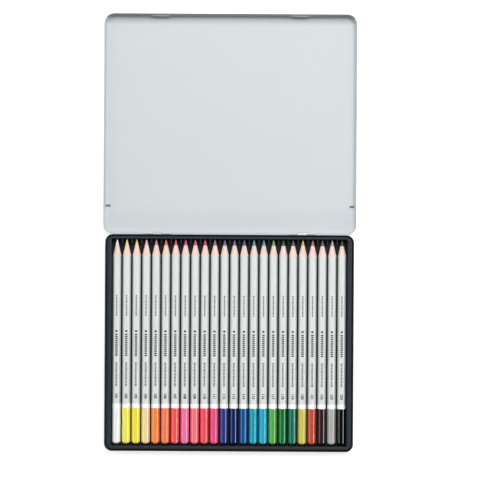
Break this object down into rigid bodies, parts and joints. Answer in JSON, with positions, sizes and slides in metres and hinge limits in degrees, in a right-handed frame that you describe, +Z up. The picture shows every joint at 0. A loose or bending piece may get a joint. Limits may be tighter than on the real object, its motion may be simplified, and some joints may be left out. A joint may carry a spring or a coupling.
{
  "type": "colored pencil tin",
  "caption": "Flat sheet-metal tin with a hinged lid laid open, and a moulded tray that holds a row of sharpened hexagonal colored pencils.",
  "frame": {"origin": "on the table, under the middle of the whole tin with its lid laid open", "axes": "+Z up from the table, +Y from the base towards the opened lid, +X to the right along the row of pencils"},
  "size_m": [0.217, 0.3748, 0.0129],
  "materials": {
    "base_black": "semi-gloss black enamel on tinplate",
    "lid_silver": "satin silver-grey enamel on tinplate",
    "tray_grey": "satin slate-grey moulded plastic",
    "pin_steel": "drawn steel wire",
    "pencil_wood": "silver lacquer, bare wood at the cone, dipped end in the color of the core",
    "core_01": "waxy color core",
    "core_02": "waxy color core",
    "core_03": "waxy color core",
    "core_04": "waxy color core",
    "core_05": "waxy color core",
    "core_06": "waxy color core",
    "core_07": "waxy color core",
    "core_08": "waxy color core",
    "core_09": "waxy color core",
    "core_10": "waxy color core",
    "core_11": "waxy color core",
    "core_12": "waxy color core",
    "core_13": "waxy color core",
    "core_14": "waxy color core",
    "core_15": "waxy color core",
    "core_16": "waxy color core",
    "core_17": "waxy color core",
    "core_18": "waxy color core",
    "core_19": "waxy color core",
    "core_20": "waxy color core",
    "core_21": "waxy color core",
    "core_22": "waxy color core",
    "core_23": "waxy color core",
    "core_24": "waxy color core"
  },
  "bodies": {
    "base": {"base_tin": "base_black", "hinge_pin_left": "pin_steel", "hinge_pin_right": "pin_steel"},
    "lid": {"lid": "lid_silver"},
    "tray": {"pencil_tray": "tray_grey"},
    "pencil_01": {"pencil_01_casing": "pencil_wood", "pencil_01_lead": "core_01"},
    "pencil_02": {"pencil_02_casing": "pencil_wood", "pencil_02_lead": "core_02"},
    "pencil_03": {"pencil_03_casing": "pencil_wood", "pencil_03_lead": "core_03"},
    "pencil_04": {"pencil_04_casing": "pencil_wood", "pencil_04_lead": "core_04"},
    "pencil_05": {"pencil_05_casing": "pencil_wood", "pencil_05_lead": "core_05"},
    "pencil_06": {"pencil_06_casing": "pencil_wood", "pencil_06_lead": "core_06"},
    "pencil_07": {"pencil_07_casing": "pencil_wood", "pencil_07_lead": "core_07"},
    "pencil_08": {"pencil_08_casing": "pencil_wood", "pencil_08_lead": "core_08"},
    "pencil_09": {"pencil_09_casing": "pencil_wood", "pencil_09_lead": "core_09"},
    "pencil_10": {"pencil_10_casing": "pencil_wood", "pencil_10_lead": "core_10"},
    "pencil_11": {"pencil_11_casing": "pencil_wood", "pencil_11_lead": "core_11"},
    "pencil_12": {"pencil_12_casing": "pencil_wood", "pencil_12_lead": "core_12"},
    "pencil_13": {"pencil_13_casing": "pencil_wood", "pencil_13_lead": "core_13"},
    "pencil_14": {"pencil_14_casing": "pencil_wood", "pencil_14_lead": "core_14"},
    "pencil_15": {"pencil_15_casing": "pencil_wood", "pencil_15_lead": "core_15"},
    "pencil_16": {"pencil_16_casing": "pencil_wood", "pencil_16_lead": "core_16"},
    "pencil_17": {"pencil_17_casing": "pencil_wood", "pencil_17_lead": "core_17"},
    "pencil_18": {"pencil_18_casing": "pencil_wood", "pencil_18_lead": "core_18"},
    "pencil_19": {"pencil_19_casing": "pencil_wood", "pencil_19_lead": "core_19"},
    "pencil_20": {"pencil_20_casing": "pencil_wood", "pencil_20_lead": "core_20"},
    "pencil_21": {"pencil_21_casing": "pencil_wood", "pencil_21_lead": "core_21"},
    "pencil_22": {"pencil_22_casing": "pencil_wood", "pencil_22_lead": "core_22"},
    "pencil_23": {"pencil_23_casing": "pencil_wood", "pencil_23_lead": "core_23"},
    "pencil_24": {"pencil_24_casing": "pencil_wood", "pencil_24_lead": "core_24"}
  },
  "joints": [
    {"name": "lid_hinge", "type": "hinge", "parent": "base", "child": "lid", "pos_m": [0, -0.00105, 0.0075], "axis": [-1, 0, 0], "range_deg": [-180, 0]},
    {"name": "tray_lift", "type": "slide", "parent": "base", "child": "tray", "axis": [0, 0, 1], "range_m": [0, 0.015]},
    {"name": "pencil_01_lift", "type": "slide", "parent": "tray", "child": "pencil_01", "axis": [0, 0, 1], "range_m": [0, 0.03]},
    {"name": "pencil_02_lift", "type": "slide", "parent": "tray", "child": "pencil_02", "axis": [0, 0, 1], "range_m": [0, 0.03]},
    {"name": "pencil_03_lift", "type": "slide", "parent": "tray", "child": "pencil_03", "axis": [0, 0, 1], "range_m": [0, 0.03]},
    {"name": "pencil_04_lift", "type": "slide", "parent": "tray", "child": "pencil_04", "axis": [0, 0, 1], "range_m": [0, 0.03]},
    {"name": "pencil_05_lift", "type": "slide", "parent": "tray", "child": "pencil_05", "axis": [0, 0, 1], "range_m": [0, 0.03]},
    {"name": "pencil_06_lift", "type": "slide", "parent": "tray", "child": "pencil_06", "axis": [0, 0, 1], "range_m": [0, 0.03]},
    {"name": "pencil_07_lift", "type": "slide", "parent": "tray", "child": "pencil_07", "axis": [0, 0, 1], "range_m": [0, 0.03]},
    {"name": "pencil_08_lift", "type": "slide", "parent": "tray", "child": "pencil_08", "axis": [0, 0, 1], "range_m": [0, 0.03]},
    {"name": "pencil_09_lift", "type": "slide", "parent": "tray", "child": "pencil_09", "axis": [0, 0, 1], "range_m": [0, 0.03]},
    {"name": "pencil_10_lift", "type": "slide", "parent": "tray", "child": "pencil_10", "axis": [0, 0, 1], "range_m": [0, 0.03]},
    {"name": "pencil_11_lift", "type": "slide", "parent": "tray", "child": "pencil_11", "axis": [0, 0, 1], "range_m": [0, 0.03]},
    {"name": "pencil_12_lift", "type": "slide", "parent": "tray", "child": "pencil_12", "axis": [0, 0, 1], "range_m": [0, 0.03]},
    {"name": "pencil_13_lift", "type": "slide", "parent": "tray", "child": "pencil_13", "axis": [0, 0, 1], "range_m": [0, 0.03]},
    {"name": "pencil_14_lift", "type": "slide", "parent": "tray", "child": "pencil_14", "axis": [0, 0, 1], "range_m": [0, 0.03]},
    {"name": "pencil_15_lift", "type": "slide", "parent": "tray", "child": "pencil_15", "axis": [0, 0, 1], "range_m": [0, 0.03]},
    {"name": "pencil_16_lift", "type": "slide", "parent": "tray", "child": "pencil_16", "axis": [0, 0, 1], "range_m": [0, 0.03]},
    {"name": "pencil_17_lift", "type": "slide", "parent": "tray", "child": "pencil_17", "axis": [0, 0, 1], "range_m": [0, 0.03]},
    {"name": "pencil_18_lift", "type": "slide", "parent": "tray", "child": "pencil_18", "axis": [0, 0, 1], "range_m": [0, 0.03]},
    {"name": "pencil_19_lift", "type": "slide", "parent": "tray", "child": "pencil_19", "axis": [0, 0, 1], "range_m": [0, 0.03]},
    {"name": "pencil_20_lift", "type": "slide", "parent": "tray", "child": "pencil_20", "axis": [0, 0, 1], "range_m": [0, 0.03]},
    {"name": "pencil_21_lift", "type": "slide", "parent": "tray", "child": "pencil_21", "axis": [0, 0, 1], "range_m": [0, 0.03]},
    {"name": "pencil_22_lift", "type": "slide", "parent": "tray", "child": "pencil_22", "axis": [0, 0, 1], "range_m": [0, 0.03]},
    {"name": "pencil_23_lift", "type": "slide", "parent": "tray", "child": "pencil_23", "axis": [0, 0, 1], "range_m": [0, 0.03]},
    {"name": "pencil_24_lift", "type": "slide", "parent": "tray", "child": "pencil_24", "axis": [0, 0, 1], "range_m": [0, 0.03]}
  ]
}
